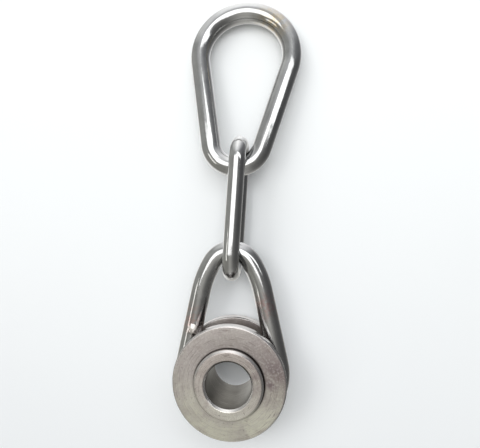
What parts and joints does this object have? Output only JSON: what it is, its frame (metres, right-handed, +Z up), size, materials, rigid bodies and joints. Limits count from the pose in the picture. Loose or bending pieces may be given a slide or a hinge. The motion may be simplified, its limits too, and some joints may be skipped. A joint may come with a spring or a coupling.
{
  "type": "thimble eye",
  "caption": "Grooved steel thimble with a through bore, held in a pear-shaped bow and joined by an upright oval link to a pear ring.",
  "frame": {"origin": "where the thimble's bore axis meets the surface that the part lies on, level with the rear hub face", "axes": "+Z up along the bore axis, out of the front hub face; +Y from the thimble along the bow and the chain; +X to the right"},
  "size_m": [0.0644, 0.2203, 0.0284],
  "materials": {
    "turned_hub": "stainless steel, face turned with fine round tool marks",
    "turned_cheek": "stainless steel, satin turned with fine round tool marks",
    "polished_bow": "bright polished stainless bar, with a butt weld and a faint heat tint",
    "polished_link": "bright polished stainless wire",
    "polished_ring": "bright polished stainless bar with fine draw marks"
  },
  "bodies": {
    "thimble": {"hub_sleeve": "turned_hub", "front_cheek": "turned_cheek", "rear_cheek": "turned_cheek"},
    "bow": {"bow": "polished_bow"},
    "link": {"connecting_link": "polished_link"},
    "ring": {"pear_ring": "polished_ring"}
  },
  "joints": [
    {"name": "bow_turn", "type": "hinge", "parent": "thimble", "child": "bow", "pos_m": [0, 0, 0.0142], "axis": [0, 0, 1], "continuous": true},
    {"name": "link_swing", "type": "hinge", "parent": "bow", "child": "link", "pos_m": [0.0009, 0.0625, 0.0142], "axis": [1, 0, 0], "range_deg": [-130, 130]},
    {"name": "ring_swing", "type": "hinge", "parent": "link", "child": "ring", "pos_m": [0.00228, 0.11836, 0.01232], "axis": [0.0095, 0.104, 0.9945], "range_deg": [-90, 90]}
  ]
}
